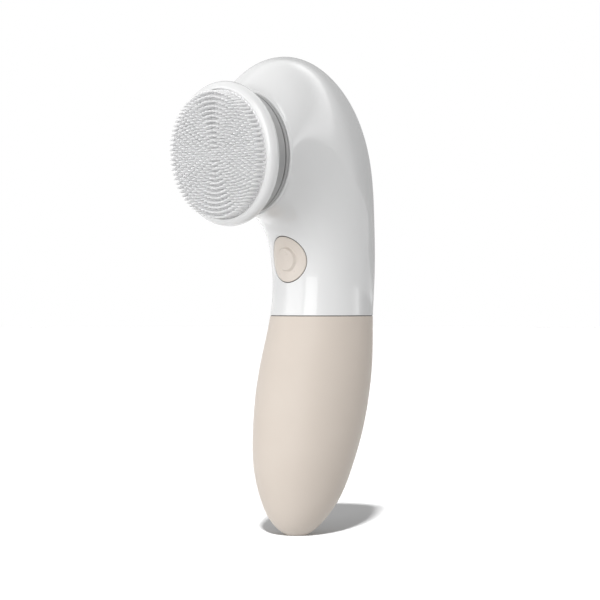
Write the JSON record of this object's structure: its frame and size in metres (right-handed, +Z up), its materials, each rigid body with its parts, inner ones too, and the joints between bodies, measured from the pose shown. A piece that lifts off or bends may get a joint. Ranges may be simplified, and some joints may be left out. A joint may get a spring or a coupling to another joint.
{
  "type": "facial cleansing brush",
  "caption": "Handheld electric facial brush: curved gooseneck body with a round rotary bristle head, a front push button and a pull-off battery cover.",
  "frame": {"origin": "middle of the small flat foot under the battery cover, on the surface it stands on", "axes": "+Z up along the handle, -Y towards where the brush faces, X across the handle"},
  "size_m": [0.0508, 0.0763, 0.1714],
  "materials": {
    "white_gloss": "bright white injection-moulded ABS, high gloss",
    "grey_trim": "mid-grey satin plastic trim",
    "beige_soft_touch": "warm beige plastic with a satin soft-touch coat",
    "beige_button": "warm beige satin plastic",
    "inner_white": "plain white inner moulding",
    "grey_silicone": "soft grey silicone sheet",
    "clear_silicone": "soft translucent silicone bristles",
    "black_rubber": "black nitrile rubber",
    "black_plastic": "black moulded plastic",
    "natural_nylon": "natural nylon",
    "gear_acetal": "natural acetal, lightly greased",
    "green_board": "green circuit board",
    "cell_sleeve": "shrink-sleeved dry cell",
    "spring_steel": "nickel-plated spring wire",
    "nickel_plate": "nickel-plated contact strip",
    "lead_positive": "red insulated lead",
    "lead_negative": "black insulated lead",
    "sintered_bronze": "oil-filled sintered bronze",
    "screw_steel": "zinc-plated steel",
    "motor_steel": "drawn steel can",
    "ferrite": "pressed ferrite magnet",
    "brass": "turned or stamped brass",
    "armature": "wound laminated armature"
  },
  "bodies": {
    "housing": {"upper_housing": "white_gloss", "collar_ring": "grey_trim", "button_gasket": "grey_silicone", "tact_switch": "black_plastic", "control_pcb": "green_board", "battery_bay_collar": "inner_white", "seam_o_ring": "black_rubber", "battery_carrier": "inner_white", "battery_cell_left": "cell_sleeve", "battery_cell_right": "cell_sleeve", "contact_positive": "nickel_plate", "contact_bridge": "nickel_plate", "contact_spring_upper": "spring_steel", "contact_spring_lower": "spring_steel", "battery_lead_positive": "lead_positive", "battery_lead_negative": "lead_negative", "motor_lead_positive": "lead_positive", "motor_lead_negative": "lead_negative", "front_plate": "inner_white", "spindle_bush": "sintered_bronze", "shaft_seal": "black_rubber", "gearbox_frame": "gear_acetal", "gearbox_screw_1": "screw_steel", "gearbox_screw_2": "screw_steel", "gearbox_screw_3": "screw_steel", "gearbox_screw_4": "screw_steel", "motor_screw_1": "screw_steel", "motor_screw_2": "screw_steel", "idler_pin": "screw_steel", "motor_can": "motor_steel", "motor_end_cap": "black_plastic", "motor_terminal_1": "brass", "motor_terminal_2": "brass", "motor_magnet_1": "ferrite", "motor_magnet_2": "ferrite"},
    "spindle": {"spindle_shaft": "screw_steel", "retaining_clip": "screw_steel", "output_gear": "gear_acetal"},
    "brush_head": {"brush_cup": "white_gloss", "skirt_ring": "grey_trim", "brush_hub": "inner_white", "bristle_pad": "clear_silicone"},
    "idler": {"compound_gear": "gear_acetal"},
    "rotor": {"motor_rotor": "armature", "motor_shaft": "screw_steel", "motor_pinion": "brass"},
    "button": {"power_button": "beige_button", "switch_plunger": "natural_nylon"},
    "cover": {"battery_cover": "beige_soft_touch"}
  },
  "joints": [
    {"name": "brush_spin", "type": "hinge", "parent": "housing", "child": "spindle", "pos_m": [0, -0.0247, 0.1363], "axis": [0, -0.9963, -0.0857], "continuous": true},
    {"name": "brush_head_pull", "type": "slide", "parent": "spindle", "child": "brush_head", "axis": [0, -0.9963, -0.0857], "range_m": [0, 0.012]},
    {"name": "idler_spin", "type": "hinge", "parent": "housing", "child": "idler", "pos_m": [0, -0.02586, 0.14975], "axis": [0, -0.9963, -0.0857], "continuous": true},
    {"name": "rotor_spin", "type": "hinge", "parent": "housing", "child": "rotor", "pos_m": [0, -0.02487, 0.13829], "axis": [0, -0.9963, -0.0857], "continuous": true},
    {"name": "button_press", "type": "slide", "parent": "housing", "child": "button", "axis": [0, 1, 0], "range_m": [0, 0.0008], "stiffness_N_per_m": 1500},
    {"name": "battery_cover_pull", "type": "slide", "parent": "housing", "child": "cover", "axis": [0, -0.1564, -0.9877], "range_m": [0, 0.056]}
  ],
  "couplings": [
    {"joint": "idler_spin", "follows": "brush_spin", "ratio": -3.5},
    {"joint": "rotor_spin", "follows": "brush_spin", "ratio": 12.6}
  ]
}
